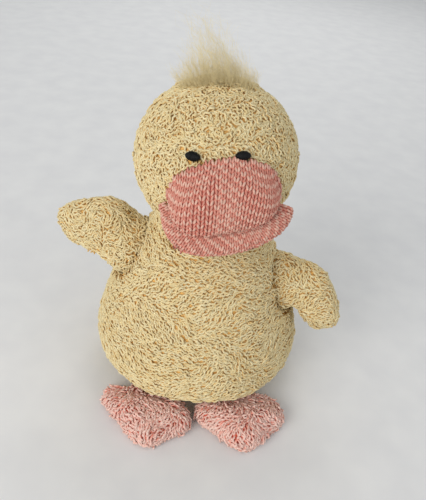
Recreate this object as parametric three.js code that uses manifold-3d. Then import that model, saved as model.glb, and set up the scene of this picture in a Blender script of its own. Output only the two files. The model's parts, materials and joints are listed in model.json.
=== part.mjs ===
// Plush duck: terry body, wings and feet, a knitted bill and a tuft of hair.
// Millimetres, +Z up, the face towards -Y, the duck's own left towards +X.
import * as THREE from 'three';
import { mergeVertices } from 'three/addons/utils/BufferGeometryUtils.js';
import Module from 'manifold-3d';

const wasm = await Module();
wasm.setup();

// Fabrics and fits
const TERRY = 2.4; // terry with its pile
const KNIT = 1.8; // knitted bill fabric
const SEAM_GAP = 0.3; // between pieces sewn together
const TURN_GAP = 0.8; // between pieces that turn on each other

// How finely forms are cut: FACETS are counted round a form, then along it
const CUT_SIZE = 400; // side of the blocks that trim a form
const INSIDE_DETAIL = 0.6; // share of the facets that an inside gets
const WELD = 1e-4; // corners closer than this become one
const TRIM = 0.1; // slivers left by a cut are smoothed away within this
const HOLE_FACETS = 20;

// Body, as radius and height at five places of its side
const BASE_RADIUS = 42;
const KEEL_RADIUS = 51;
const KEEL_HEIGHT = 6.5;
const BELLY_RADIUS = 62.5;
const BELLY_HEIGHT = 21;
const WAIST_RADIUS = 58;
const WAIST_HEIGHT = 46;
const SHOULDER_RADIUS = 44;
const SHOULDER_HEIGHT = 82;
const NECK_RADIUS = 26;
const NECK_HEIGHT = 109;
const BODY_FACETS = [32, 12];

// Head
const HEAD_RADIUS = 42.5;
const HEAD_SINK = 3.6; // how far the head sinks into the neck's rim
const HEAD_HEIGHT = NECK_HEIGHT + Math.sqrt((HEAD_RADIUS + TURN_GAP) ** 2 - NECK_RADIUS ** 2) - HEAD_SINK;
const CROWN_FLATTENING = 0.96;
const HEAD_OPENING = 13; // radius of the hole the filling goes in through
const HEAD_TILT = THREE.MathUtils.degToRad(-5); // towards the duck's right
const HEAD_FACETS = [32, 18];

// Neck
const NECK_PLUG_RADIUS = 18;
const NECK_PLUG_DEPTH = 27; // below the neck's rim
const THREAD_RADIUS = 0.8;
const THREAD_FACETS = [BODY_FACETS[0], 6];
const CREASE_STEPS = 400; // steps in which the neck's crease is looked for

// Weight bag in the base
const BAG_RADIUS = 28;
const BAG_HEIGHT = 17;
const BAG_FACETS = [24, 12];

// Bill, sewn on the face along a mouth line that slopes down to the front
const BILL_TURN = THREE.MathUtils.degToRad(6);
const MOUTH_DEPTH = 15.5; // from the face in to the mouth's middle
const MOUTH_FORWARD = HEAD_RADIUS - MOUTH_DEPTH;
const MOUTH_RISE = 1.5;
const MOUTH_SLOPE = THREE.MathUtils.degToRad(38);
const DOME_HALF_WIDTH = 27;
const DOME_LENGTH = 27;
const DOME_HEIGHT = 21;
const DOME_FULLNESS = 3.6; // of its front half: 2 is an ellipse, more is squarer
const DOME_SHEAR = 0.11; // how much further forward its right side is
const DOME_FACETS = [32, 16];
const LIP_HALF_WIDTH = 32;
const LIP_SHIFT = 3; // towards the duck's left
const LIP_TURN = THREE.MathUtils.degToRad(-16);
const LIP_MIDDLE = 6; // from the mouth's middle forward to where the lip is widest
const LIP_FRONT = 31;
const LIP_BACK = 6;
const LIP_FULLNESS = 2.35;
const LIP_SKEW = 0.3; // how much deeper it is at its right end, as a share
const LIP_THICKNESS = 9.6;
const LIP_ROUNDING = 0.65; // 1 is a ball's side, less is flatter with a rounder edge
const LIP_FACETS = [32, 12];
const JAW_BACK = 6; // from the mouth's middle back to the fold the lip swings on
const JAW_OPENING = THREE.MathUtils.degToRad(10);

// Eyes, embroidered ovals to each side of the face and level with the bill's upper seam
const EYE_HALF_WIDTH = 3.6;
const EYE_HALF_HEIGHT = 2.5;
const EYE_RELIEF = 1.5;
const EYE_TURN = THREE.MathUtils.degToRad(17);
const EYE_DROP = 0.45; // from that seam down to the middle of an eye
const SEAM_STEPS = 2000; // steps in which the seam is looked for
const EYE_FACETS = [14, 8];

// Hair tuft on the crown
const TUFT_HEIGHT = 24;
const TUFT_HALF_WIDTH = 20;
const TUFT_HALF_DEPTH = 6;
const TUFT_TAPER = 0.45; // share of the width lost at the tip
const TUFT_LEAN = 6; // sideways at the tip
const TUFT_SWAY = THREE.MathUtils.degToRad(20);
const SWAY_STEPS = 8;
const TUFT_FACETS = [20, 14];

// Wings, each a paddle on a ball-shaped root
const WING_PIVOT = 43; // from the middle of the body to each side
const WING_ROOT_RADIUS = 18;
const WING_LENGTH = 47; // from the middle of the root to the tip
const WING_HALF_BREADTH = 28;
const WING_HALF_DEPTH = 15;
const WING_SPREAD = 0.3; // share of the length over which the root widens to the paddle
const WING_TAPER = 0.25; // extra narrowing at the tip
const WING_OPENING = 6; // radius of the hole in the root
const WING_LOWEST = THREE.MathUtils.degToRad(-42);
const WING_FACETS = [20, 16];
const ROOT_FACETS = [24, 18];
const SOCKET_FACETS = [24, 16];
const LEFT_WING = {
  forward: 6,
  height: 68,
  lift: THREE.MathUtils.degToRad(-28),
  turn: THREE.MathUtils.degToRad(-18),
};
const RIGHT_WING = {
  forward: -3,
  height: 80,
  lift: THREE.MathUtils.degToRad(10),
  turn: THREE.MathUtils.degToRad(-16),
};

// Feet, webbed pillows hinged on the front of the base
const FOOT_SPACING = 27.3; // from the middle of the body to the middle of a foot
const FOOT_HINGE_FORWARD = 44;
const FOOT_HINGE_HEIGHT = 4.5; // also the radius of the roll at the back of a foot
const FOOT_HALF_WIDTH = 26.6;
const FOOT_MIDDLE = 11; // from the hinge forward to where the foot is widest
const FOOT_FRONT = 23; // from there to the toes
const FOOT_BACK = 20; // from there to the back, before the roll is rounded off
const FOOT_TOP = 9.5; // above the hinge at the thickest place
const FOOT_RISE = 15; // over which the roll thickens to that
const STEEPEST = 9 / 8; // how much steeper than a straight rise a smooth one is, seen from its foot
const FOOT_OUTLINE = 0.6; // 1 is a ball's outline, less is fuller
const FOOT_CROWN = 0.8; // the same for its top
const FOOT_EDGE = 0.6; // the same for its underside
const WEB_DEPTH = 0.11; // how far the web draws in between two toes
const WEB_WAVES = 4; // waves in a whole turn, which gives three toes in front
const TOE_POINT = 4; // how closely the shift of the toes keeps to the middle one
const FOOT_LIFT = THREE.MathUtils.degToRad(10);
const LEFT_TOES = { shift: 1.5, skew: 0 }; // sideways for the middle toe, and how much a foot slants to one side
const RIGHT_TOES = { shift: 0, skew: 0.3 };
const FOOT_FACETS = [32, 12];
const ROLL_FACETS = 24;
const RECESS_FACETS = 8;

// Colours
const terry = new THREE.MeshStandardMaterial({ color: 0xddc893, roughness: 0.96, metalness: 0 });
const pinkTerry = new THREE.MeshStandardMaterial({ color: 0xdb9a90, roughness: 0.96, metalness: 0 });
const pinkKnit = new THREE.MeshStandardMaterial({ color: 0xd58d85, roughness: 0.92, metalness: 0 });
const blackThread = new THREE.MeshStandardMaterial({ color: 0x121212, roughness: 0.7, metalness: 0 });
const hair = new THREE.MeshStandardMaterial({ color: 0xe8d6a0, roughness: 0.9, metalness: 0 });
const stuffing = new THREE.MeshStandardMaterial({ color: 0xf1efe8, roughness: 1, metalness: 0 });
const bagCotton = new THREE.MeshStandardMaterial({ color: 0xd9d2c2, roughness: 0.95, metalness: 0 });

// Solids and meshes

function solid(geometry) {
  geometry.deleteAttribute('normal');
  geometry.deleteAttribute('uv');
  const merged = mergeVertices(geometry, WELD);
  const corners = merged.index.array;
  const triangles = [];
  for (let i = 0; i < corners.length; i += 3) {
    const [a, b, c] = corners.slice(i, i + 3);
    if (a !== b && b !== c && c !== a) triangles.push(a, b, c);
  }
  return new wasm.Manifold(new wasm.Mesh({
    numProp: 3,
    vertProperties: merged.attributes.position.array,
    triVerts: Uint32Array.from(triangles),
  }));
}

function addPiece(group, name, manifold, material) {
  const mesh = manifold.simplify(TRIM).getMesh();
  const geometry = new THREE.BufferGeometry();
  geometry.setAttribute('position', new THREE.BufferAttribute(mesh.vertProperties, 3));
  geometry.setIndex(new THREE.BufferAttribute(mesh.triVerts, 1));
  geometry.computeVertexNormals();
  const piece = new THREE.Mesh(geometry, material);
  piece.name = name;
  group.add(piece);
}

function addGroup(parent, x, y, z) {
  const group = new THREE.Group();
  group.position.set(x, y, z);
  parent.add(group);
  return group;
}

function moved(manifold, matrix) {
  return manifold.transform(matrix.elements);
}

// A solid of the whole scene as seen from inside one of its groups, and the other way round
function seenFrom(group, manifold) {
  group.updateWorldMatrix(true, false);
  return moved(manifold, group.matrixWorld.clone().invert());
}

function inScene(group, manifold) {
  group.updateWorldMatrix(true, false);
  return moved(manifold, group.matrixWorld);
}

// Insides, which never show, get by with fewer facets
function detail(facets, inset) {
  return inset > 0 ? facets.map((count) => Math.round(count * INSIDE_DETAIL)) : facets;
}

// A round form: place moves every point of a unit sphere, poles on Z
function roundForm([around, along], place) {
  const geometry = new THREE.SphereGeometry(1, around, along);
  geometry.rotateX(Math.PI / 2);
  const points = geometry.attributes.position;
  const point = new THREE.Vector3();
  for (let i = 0; i < points.count; i += 1) {
    place(point.fromBufferAttribute(points, i));
    points.setXYZ(i, point.x, point.y, point.z);
  }
  return solid(geometry);
}

function ellipsoid(facets, halfX, halfY, halfZ) {
  return roundForm(facets, (p) => p.set(p.x * halfX, p.y * halfY, p.z * halfZ));
}

function ball(facets, radius) {
  return ellipsoid(facets, radius, radius, radius);
}

function lathe([around], points) {
  const geometry = new THREE.LatheGeometry(points, around);
  geometry.rotateX(Math.PI / 2);
  return solid(geometry);
}

// A round bar along Z, its middle at the origin
function bar(around, radius, length) {
  return new THREE.CylinderGeometry(radius, radius, length, around).rotateX(Math.PI / 2);
}

function above(height) {
  return solid(new THREE.BoxGeometry(CUT_SIZE, CUT_SIZE, CUT_SIZE).translate(0, 0, height + CUT_SIZE / 2));
}

function below(height) {
  return above(height - CUT_SIZE);
}

function inFront() {
  return solid(new THREE.BoxGeometry(CUT_SIZE, CUT_SIZE, CUT_SIZE).translate(0, -CUT_SIZE / 2, 0));
}

// Side of the body from the base to the neck
function bodyCurve() {
  return new THREE.SplineCurve([
    new THREE.Vector2(BASE_RADIUS, 0),
    new THREE.Vector2(KEEL_RADIUS, KEEL_HEIGHT),
    new THREE.Vector2(BELLY_RADIUS, BELLY_HEIGHT),
    new THREE.Vector2(WAIST_RADIUS, WAIST_HEIGHT),
    new THREE.Vector2(SHOULDER_RADIUS, SHOULDER_HEIGHT),
    new THREE.Vector2(NECK_RADIUS, NECK_HEIGHT),
  ]);
}

// The same side drawn in from the outside by an inset
function bodySide(inset) {
  const side = bodyCurve();
  const rows = BODY_FACETS[1];
  const points = [];
  for (let row = 0; row <= rows; row += 1) {
    const tangent = side.getTangent(row / rows);
    const inward = new THREE.Vector2(-tangent.y, tangent.x);
    points.push(side.getPoint(row / rows).addScaledVector(inward, inset));
  }
  return points;
}

function bodySolid(inset) {
  const side = bodySide(inset);
  const foot = new THREE.Vector2(0, side[0].y);
  const top = new THREE.Vector2(0, side.at(-1).y);
  return lathe(detail(BODY_FACETS, inset), [foot, ...side, top]);
}

// The hollow of the body cover runs out through the base and through the neck
function bodyHollow(inset) {
  const side = bodySide(inset);
  const opening = BASE_RADIUS - TERRY;
  const bottom = [new THREE.Vector2(0, -TERRY), new THREE.Vector2(opening, -TERRY)];
  const top = new THREE.Vector2(side.at(-1).x, HEAD_HEIGHT);
  const closing = new THREE.Vector2(0, HEAD_HEIGHT);
  return lathe(detail(BODY_FACETS, inset), [...bottom, ...side, top, closing]);
}

// Head shape, a ball with a slightly flattened crown
function headSolid(inset) {
  const radius = HEAD_RADIUS - inset;
  return roundForm(detail(HEAD_FACETS, inset), (p) => {
    const flattening = p.z > 0 ? CROWN_FLATTENING : 1;
    p.multiplyScalar(radius);
    p.z *= flattening;
  });
}

// The head with the gap of a seam round it, from inside a group that rides on it
function headSeenFrom(group) {
  return seenFrom(group, inScene(head, headSolid(-SEAM_GAP)));
}

// Places cut out of the torso for what turns on it
function headSocket() {
  return headSolid(-TURN_GAP).translate([0, 0, HEAD_HEIGHT]);
}

function wingSockets(grow) {
  const socket = ball(SOCKET_FACETS, WING_ROOT_RADIUS + TURN_GAP + grow);
  const left = socket.translate([WING_PIVOT, -LEFT_WING.forward, LEFT_WING.height]);
  const right = socket.translate([-WING_PIVOT, -RIGHT_WING.forward, RIGHT_WING.height]);
  return left.add(right);
}

// Recess across the front of the base in which both feet swing up to their limit
function footRecess(grow) {
  const reach = FOOT_HINGE_HEIGHT + SEAM_GAP + grow;
  const rise = Math.atan2(STEEPEST * (FOOT_TOP - FOOT_HINGE_HEIGHT), FOOT_RISE) + FOOT_LIFT;
  const far = BELLY_RADIUS;
  const outline = new THREE.Shape();
  outline.moveTo(far, -far);
  outline.lineTo(far, far * Math.tan(rise) + reach / Math.cos(rise));
  outline.absarc(0, 0, reach, Math.PI / 2 + rise, Math.PI, false);
  outline.lineTo(-reach, -far);
  const width = 2 * (BELLY_RADIUS + grow);
  const shaping = { depth: width, bevelEnabled: false, curveSegments: RECESS_FACETS };
  const geometry = new THREE.ExtrudeGeometry(outline, shaping);
  geometry.translate(0, 0, -width / 2);
  geometry.rotateX(Math.PI / 2);
  geometry.rotateZ(-Math.PI / 2);
  geometry.translate(0, -FOOT_HINGE_FORWARD, FOOT_HINGE_HEIGHT);
  return solid(geometry);
}

// Crease where the body meets the head, as the ring that a thread laid in it makes
function neckCrease() {
  const inHead = (p) => Math.hypot(p.x, HEAD_HEIGHT - p.y) < HEAD_RADIUS + TURN_GAP;
  const rim = bodyCurve().getPoints(CREASE_STEPS).find(inHead);
  const ring = rim.x + SEAM_GAP;
  const reach = HEAD_RADIUS + TURN_GAP + THREAD_RADIUS;
  return { ring, height: HEAD_HEIGHT - Math.sqrt(reach ** 2 - ring ** 2) };
}

// Thread that sews the head on
function neckThread(radius) {
  const { ring, height } = neckCrease();
  const [around, section] = THREAD_FACETS;
  return solid(new THREE.TorusGeometry(ring, radius, section, around).translate(0, 0, height));
}

function neckPlug(grow) {
  const length = HEAD_HEIGHT - NECK_HEIGHT + NECK_PLUG_DEPTH + grow;
  const plug = bar(HOLE_FACETS, NECK_PLUG_RADIUS + grow, length);
  return solid(plug.translate(0, 0, HEAD_HEIGHT - length / 2));
}

function weightBag(grow) {
  const floor = TERRY + SEAM_GAP;
  const bag = ellipsoid(BAG_FACETS, BAG_RADIUS + grow, BAG_RADIUS + grow, BAG_HEIGHT + grow);
  return bag.translate([0, 0, floor]).intersect(above(floor));
}

// Torso
function buildTorso(torso) {
  const shape = bodySolid(0).subtract(headSocket()).subtract(wingSockets(0)).subtract(footRecess(0));
  const hollow = bodyHollow(TERRY).subtract(wingSockets(TERRY)).subtract(footRecess(TERRY));
  const cover = shape.subtract(hollow).subtract(neckThread(THREAD_RADIUS + SEAM_GAP));
  addPiece(torso, 'body_cover', cover.intersect(below(neckCrease().height)), terry);

  const inset = TERRY + SEAM_GAP;
  const room = bodyHollow(inset).subtract(wingSockets(inset)).subtract(footRecess(inset));
  const trimmed = room.intersect(above(inset)).subtract(headSocket());
  const filling = trimmed.subtract(weightBag(SEAM_GAP)).subtract(neckPlug(TURN_GAP));
  addPiece(torso, 'body_filling', filling, stuffing);
  addPiece(torso, 'pellet_bag', weightBag(0), bagCotton);

  const disc = bar(BODY_FACETS[0], BASE_RADIUS - inset, TERRY).translate(0, 0, TERRY / 2);
  addPiece(torso, 'base_panel', solid(disc).subtract(footRecess(inset)), terry);
}

// Neck
function buildNeck(neck) {
  addPiece(neck, 'neck_thread', neckThread(THREAD_RADIUS), terry);
  addPiece(neck, 'neck_filling', neckPlug(0).subtract(headSocket()), stuffing);
}

// Head with its eyes
function buildHead(head) {
  const opening = solid(bar(HOLE_FACETS, HEAD_OPENING, HEAD_RADIUS).translate(0, 0, -HEAD_RADIUS));
  const cover = headSolid(0).subtract(headSolid(TERRY)).subtract(opening);
  addPiece(head, 'head_cover', cover, terry);
  addPiece(head, 'head_filling', headSolid(TERRY + SEAM_GAP), stuffing);
  addPiece(head, 'eye_left', eye(EYE_TURN), blackThread);
  addPiece(head, 'eye_right', eye(-EYE_TURN), blackThread);
}

// How far up the face, as an angle, the upper edge of the bill is sewn on
function billSeam() {
  const point = new THREE.Vector3();
  let seam = 0;
  for (let step = 0; step <= SEAM_STEPS; step += 1) {
    const lift = Math.PI / 2 * step / SEAM_STEPS;
    point.set(0, -HEAD_RADIUS * Math.cos(lift), HEAD_RADIUS * Math.sin(lift));
    mouth.worldToLocal(bill.localToWorld(point));
    if (Math.hypot(point.y / DOME_LENGTH, point.z / DOME_HEIGHT) < 1) seam = lift;
  }
  return seam;
}

// The bill overlaps the lower edge of an eye
function eye(turn) {
  const lift = billSeam() - EYE_DROP / HEAD_RADIUS;
  const oval = ellipsoid(EYE_FACETS, EYE_HALF_WIDTH, EYE_RELIEF + SEAM_GAP, EYE_HALF_HEIGHT);
  const outwards = new THREE.Matrix4().makeTranslation(0, -HEAD_RADIUS, 0);
  const raised = new THREE.Matrix4().makeRotationX(-lift).multiply(outwards);
  const placed = new THREE.Matrix4().makeRotationZ(turn).multiply(raised);
  const dome = seenFrom(head, inScene(mouth, domeForm(-SEAM_GAP)));
  return moved(oval, placed).subtract(headSolid(-SEAM_GAP)).subtract(dome);
}

// How much further out than an ellipse a squarer outline is, in the direction of a point
function squareness(p, fullness) {
  const across = Math.hypot(p.x, p.y) || 1;
  return (Math.abs(p.x / across) ** fullness + Math.abs(p.y / across) ** fullness) ** (-1 / fullness);
}

// Upper bill: a stuffed dome on the mouth line
function domeForm(inset) {
  const form = roundForm(detail(DOME_FACETS, inset), (p) => {
    const swell = p.y < 0 ? squareness(p, DOME_FULLNESS) : 1;
    const x = p.x * swell * (DOME_HALF_WIDTH - inset);
    const y = p.y * swell * (DOME_LENGTH - inset) + DOME_SHEAR * x;
    p.set(x, y, p.z * (DOME_HEIGHT - inset));
  });
  return form.intersect(above(SEAM_GAP / 2 + inset));
}

function buildUpperBill(mouth) {
  const face = headSeenFrom(mouth);
  const cover = domeForm(0).subtract(face).subtract(domeForm(KNIT));
  addPiece(mouth, 'upper_bill_cover', cover, pinkKnit);
  addPiece(mouth, 'upper_bill_filling', domeForm(KNIT + SEAM_GAP).subtract(face), stuffing);
}

// Lower bill: a stuffed lip under the dome, clear of the face as far as it opens
function lipForm(inset) {
  const half = LIP_THICKNESS / 2 - inset;
  const pad = roundForm(detail(LIP_FACETS, inset), (p) => {
    const across = Math.hypot(p.x, p.y) || 1;
    const swell = across ** (LIP_ROUNDING - 1) * squareness(p, LIP_FULLNESS);
    const length = (p.y < 0 ? LIP_FRONT : LIP_BACK) - inset;
    const depth = length * (1 - LIP_SKEW * p.x * swell);
    const height = Math.sign(p.z) * Math.abs(p.z) ** LIP_ROUNDING * half;
    p.set(p.x * swell * (LIP_HALF_WIDTH - inset), p.y * swell * depth, height);
  });
  const turned = moved(pad, new THREE.Matrix4().makeRotationZ(LIP_TURN));
  return turned.translate([LIP_SHIFT, -JAW_BACK - LIP_MIDDLE, 0]);
}

function buildLowerBill(jaw) {
  const face = headSeenFrom(jaw);
  const clear = (form) => {
    let left = form;
    for (const angle of [0, JAW_OPENING / 2, JAW_OPENING]) {
      left = left.subtract(moved(face, new THREE.Matrix4().makeRotationX(-angle)));
    }
    return left;
  };
  addPiece(jaw, 'lower_bill_cover', clear(lipForm(0)).subtract(lipForm(KNIT)), pinkKnit);
  addPiece(jaw, 'lower_bill_filling', clear(lipForm(KNIT + SEAM_GAP)), stuffing);
}

// Height of the crown over a place beside the tuft's foot, wherever the tuft sways
function crownHeight(x, y) {
  const radius = HEAD_RADIUS / CROWN_FLATTENING;
  let highest = -radius;
  for (let step = 0; step <= SWAY_STEPS; step += 1) {
    const sway = TUFT_SWAY * (2 * step / SWAY_STEPS - 1);
    const across = y - radius * Math.sin(sway);
    highest = Math.max(highest, Math.sqrt(radius ** 2 - x ** 2 - across ** 2) - radius * Math.cos(sway));
  }
  return highest;
}

// Hair tuft, standing on the crown along a line and rounded to both sides of it so that it rocks
function buildTuft(tuft) {
  const form = roundForm(TUFT_FACETS, (p) => {
    const rise = Math.max(p.z, 0);
    const taper = 1 - TUFT_TAPER * rise;
    const x = p.x * TUFT_HALF_WIDTH * taper;
    const y = p.y * TUFT_HALF_DEPTH * taper;
    p.set(x - TUFT_LEAN * rise ** 2, y, crownHeight(x, y) + TUFT_HEIGHT * rise);
  });
  addPiece(tuft, 'tuft', form, hair);
}

// Wing paddle along its own +X, a ball round the pivot that widens and flattens to the tip
function wingForm(inset) {
  const root = WING_ROOT_RADIUS - inset;
  return roundForm(detail(WING_FACETS, inset), (p) => {
    const [along, across, up] = [p.z, p.x, p.y];
    const outer = Math.max(along, 0);
    const spread = THREE.MathUtils.smoothstep(outer, 0, WING_SPREAD);
    const taper = 1 - WING_TAPER * outer ** 2;
    const reach = along < 0 ? root : WING_LENGTH - inset;
    const breadth = THREE.MathUtils.lerp(root, WING_HALF_BREADTH - inset, spread) * taper;
    const depth = THREE.MathUtils.lerp(root, WING_HALF_DEPTH - inset, spread) * taper;
    p.set(along * reach, across * depth, up * breadth);
  });
}

// Both wings are trimmed to lie against the body when they hang as low as they go
function buildWing(wing, name, { lift }) {
  const lowest = new THREE.Matrix4().makeRotationY(WING_LOWEST - lift);
  const trimmed = (inset) => {
    const body = moved(seenFrom(wing, bodySolid(-TURN_GAP - inset)), lowest);
    const root = ball(ROOT_FACETS, WING_ROOT_RADIUS + SEAM_GAP - inset);
    return wingForm(inset).subtract(body.subtract(root));
  };
  const hole = bar(HOLE_FACETS, WING_OPENING, WING_LENGTH).rotateY(Math.PI / 2);
  const opening = solid(hole.translate(-WING_LENGTH / 2, 0, 0));
  addPiece(wing, `${name}_cover`, trimmed(0).subtract(trimmed(TERRY)).subtract(opening), terry);
  addPiece(wing, `${name}_filling`, trimmed(TERRY + SEAM_GAP), stuffing);
}

// Foot pillow, its hinge at the origin, toes towards -Y, rounded off to a roll behind the hinge
function footForm(inset, toes) {
  const low = FOOT_HINGE_HEIGHT + TERRY - inset;
  const form = roundForm(detail(FOOT_FACETS, inset), (p) => {
    const across = Math.hypot(p.x, p.y) || 1;
    const front = p.y < 0;
    const web = front ? Math.cos(WEB_WAVES * Math.atan2(p.x, p.y)) : 1;
    const draw = (1 + WEB_DEPTH * web) / (1 + WEB_DEPTH);
    const swell = across ** (FOOT_OUTLINE - 1) * draw;
    const shift = front ? toes.shift * (p.y / across) ** TOE_POINT * across : 0;
    const x = p.x * swell * (FOOT_HALF_WIDTH - inset) + shift;
    const reach = (front ? FOOT_FRONT : FOOT_BACK) - inset;
    const y = p.y * swell * reach - FOOT_MIDDLE - toes.skew * x;
    const forward = THREE.MathUtils.smoothstep(-y, 0, FOOT_RISE);
    const top = THREE.MathUtils.lerp(FOOT_HINGE_HEIGHT, FOOT_TOP, forward) - inset;
    const height = p.z > 0 ? p.z ** FOOT_CROWN * top : -(Math.abs(p.z) ** FOOT_EDGE) * low;
    p.set(x, y, height);
  });
  const roll = bar(ROLL_FACETS, FOOT_HINGE_HEIGHT - inset, CUT_SIZE).rotateY(Math.PI / 2);
  return form.intersect(solid(roll).add(inFront()));
}

function buildFoot(foot, name, toes) {
  const floor = -FOOT_HINGE_HEIGHT;
  const seam = floor + TERRY + SEAM_GAP;
  const whole = footForm(0, toes).intersect(above(floor));
  const upper = whole.intersect(above(seam)).subtract(footForm(TERRY, toes));
  addPiece(foot, `${name}_upper`, upper, pinkTerry);
  addPiece(foot, `${name}_sole`, whole.intersect(below(floor + TERRY)), pinkTerry);
  const filling = footForm(TERRY + SEAM_GAP, toes).intersect(above(seam));
  addPiece(foot, `${name}_filling`, filling, stuffing);
}

// Assembly
const duck = new THREE.Group();
duck.name = 'plush_duck';

buildTorso(addGroup(duck, 0, 0, 0));
buildNeck(addGroup(duck, 0, 0, 0));

const head = addGroup(duck, 0, 0, HEAD_HEIGHT);
head.rotation.y = HEAD_TILT;
const bill = addGroup(head, 0, 0, 0);
bill.rotation.z = BILL_TURN;
const mouth = addGroup(bill, 0, -MOUTH_FORWARD, MOUTH_RISE);
mouth.rotation.x = MOUTH_SLOPE;
duck.updateMatrixWorld(true);
buildHead(head);
buildUpperBill(mouth);
buildLowerBill(addGroup(mouth, 0, JAW_BACK, -(LIP_THICKNESS + SEAM_GAP) / 2));
buildTuft(addGroup(head, 0, 0, HEAD_RADIUS * CROWN_FLATTENING + SEAM_GAP));

const leftWing = addGroup(duck, WING_PIVOT, -LEFT_WING.forward, LEFT_WING.height);
leftWing.rotation.set(0, -LEFT_WING.lift, LEFT_WING.turn, 'ZYX');
buildWing(leftWing, 'wing_left', LEFT_WING);

const rightWing = addGroup(duck, -WING_PIVOT, -RIGHT_WING.forward, RIGHT_WING.height);
rightWing.rotation.set(0, -RIGHT_WING.lift, Math.PI + RIGHT_WING.turn, 'ZYX');
buildWing(rightWing, 'wing_right', RIGHT_WING);

const leftFoot = addGroup(duck, FOOT_SPACING, -FOOT_HINGE_FORWARD, FOOT_HINGE_HEIGHT);
buildFoot(leftFoot, 'foot_left', LEFT_TOES);

const rightFoot = addGroup(duck, -FOOT_SPACING, -FOOT_HINGE_FORWARD, FOOT_HINGE_HEIGHT);
buildFoot(rightFoot, 'foot_right', RIGHT_TOES);

export default duck;
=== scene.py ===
import json
import math
from typing import NamedTuple

import bpy
import numpy as np
from mathutils import Matrix, Vector
from mathutils.bvhtree import BVHTree


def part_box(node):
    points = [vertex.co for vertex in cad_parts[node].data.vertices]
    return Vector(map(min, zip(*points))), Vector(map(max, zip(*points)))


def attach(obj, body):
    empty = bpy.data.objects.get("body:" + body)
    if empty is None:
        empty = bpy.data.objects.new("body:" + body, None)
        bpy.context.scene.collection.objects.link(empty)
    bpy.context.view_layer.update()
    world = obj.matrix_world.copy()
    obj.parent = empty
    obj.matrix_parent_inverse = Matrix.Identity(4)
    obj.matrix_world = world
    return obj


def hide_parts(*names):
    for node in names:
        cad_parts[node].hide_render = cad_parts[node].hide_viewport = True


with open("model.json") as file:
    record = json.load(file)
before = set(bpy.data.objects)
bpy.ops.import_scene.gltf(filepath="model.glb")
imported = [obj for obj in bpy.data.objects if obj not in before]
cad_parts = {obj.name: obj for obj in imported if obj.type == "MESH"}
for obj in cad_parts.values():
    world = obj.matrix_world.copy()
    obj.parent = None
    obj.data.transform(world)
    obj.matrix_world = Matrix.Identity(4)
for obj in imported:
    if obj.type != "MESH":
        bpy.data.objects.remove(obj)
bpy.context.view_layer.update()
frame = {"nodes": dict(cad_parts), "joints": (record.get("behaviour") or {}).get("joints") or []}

MM = 0.001
HANDS = ("left", "right")
JOINTS = {joint["name"]: Vector(joint["pos_m"]) for joint in frame["joints"]}
scene = bpy.context.scene

# Camera of the photograph
FRAME_HEIGHT = 500  # pixels, the frame's long side
FOCAL_LENGTH = 540  # pixels
SENSOR = 36  # millimetres on the long side
CAMERA_TARGET = Vector((4.5, 0, 81)) * MM
CAMERA_DISTANCE = 310 * MM
CAMERA_AZIMUTH = math.radians(-5)
CAMERA_PITCH = math.radians(37)
CAMERA_ROLL = math.radians(7.3)
CAMERA_NEAREST = 10 * MM

# Measures that the solids have too
HEAD_CENTRE = JOINTS["head_nod"]
HEAD_RADIUS = 42.5 * MM
HEAD_TILT = math.radians(-5)
CROWN_FLATTENING = 0.96
BASE_SEAM_RADIUS = 39.5 * MM
THREAD_RADIUS = 0.8 * MM
BILL_TURN = math.radians(6)
MOUTH_FORWARD = 27 * MM
MOUTH_RISE = 1.5 * MM
MOUTH_SLOPE = math.radians(38)
DOME = np.array((27, 27, 21)) * MM  # half width, length and height
DOME_FULLNESS = 3.6  # of its front half: 2 is an ellipse, more is squarer
DOME_SHEAR = 0.11
LIP_HALF_WIDTH = 32 * MM
LIP_SHIFT = 3 * MM
LIP_TURN = math.radians(-16)
LIP_MIDDLE = 12 * MM  # from the jaw's fold forward to where the lip is widest
LIP_FRONT = 31 * MM
LIP_BACK = 6 * MM
LIP_HALF_THICKNESS = 4.8 * MM
LIP_FULLNESS = 2.35
LIP_SKEW = 0.3
LIP_ROUNDING = 0.65
EYE_HALF_WIDTH = 3.6 * MM
EYE_HALF_HEIGHT = 2.5 * MM


# Terry pile
class Pile(NamedTuple):
    """Measures of a looped pile."""

    spacing: float = 1.3 * MM  # least distance between two loops
    radius: float = 0.6 * MM  # of the yarn
    height: float = 0.8 * MM  # of a loop above the cloth
    length: float = 5.0 * MM  # between its two ends
    wave: float = 0.45 * MM  # to each side of its course
    droop: float = 0.7 * MM  # how far its middle hangs down the slope
    swirl: float = 0.5  # radians by which the lie of the pile wanders
    swirl_length: float = 26 * MM
    jitter: float = 0.22  # radians between one loop and the next
    free: float = 0.5  # 0 where both ends of a loop are down in the cloth, 1 where its far end stands up


BODY_PILE = Pile()
HEAD_PILE = Pile(spacing=1.15 * MM, radius=0.55 * MM, length=4.0 * MM, wave=0.55 * MM,
                 swirl=1.1, swirl_length=16 * MM, jitter=0.4)
WING_PILE = Pile(swirl=0.8)
NECK_PILE = Pile(height=1.1 * MM, length=4.4 * MM, droop=0.2 * MM,
                 swirl=1.2, swirl_length=9 * MM, jitter=0.9)
FOOT_PILE = Pile(spacing=1.15 * MM, radius=0.62 * MM, height=1.2 * MM, droop=0.8 * MM, jitter=0.3, free=0.8)
LOOP_RINGS = 7
LOOP_SIDES = 4
LOOP_WAVES = 1.4  # in the length of a loop
LOOP_SINK = 0.3 * MM  # how deep its ends are in the cloth
LOOP_LOWEST = 0.65  # times the usual height
LOOP_SPREAD = 0.5  # by how much an average loop is taller than the lowest, in usual heights
LOOP_SPREAD_SHAPE = 2.0  # of the gamma distribution that the spread has
LOOP_TALLEST = 2.4  # times the usual height
LOOP_LENGTHS = (0.7, 1.3)  # least and most, times the usual length
LOOP_WIDTHS = (0.88, 1.12)  # least and most, times the usual radius
LOOP_TAPER = 0.4  # share of its radius that the yarn lacks at an end in the cloth
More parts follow.
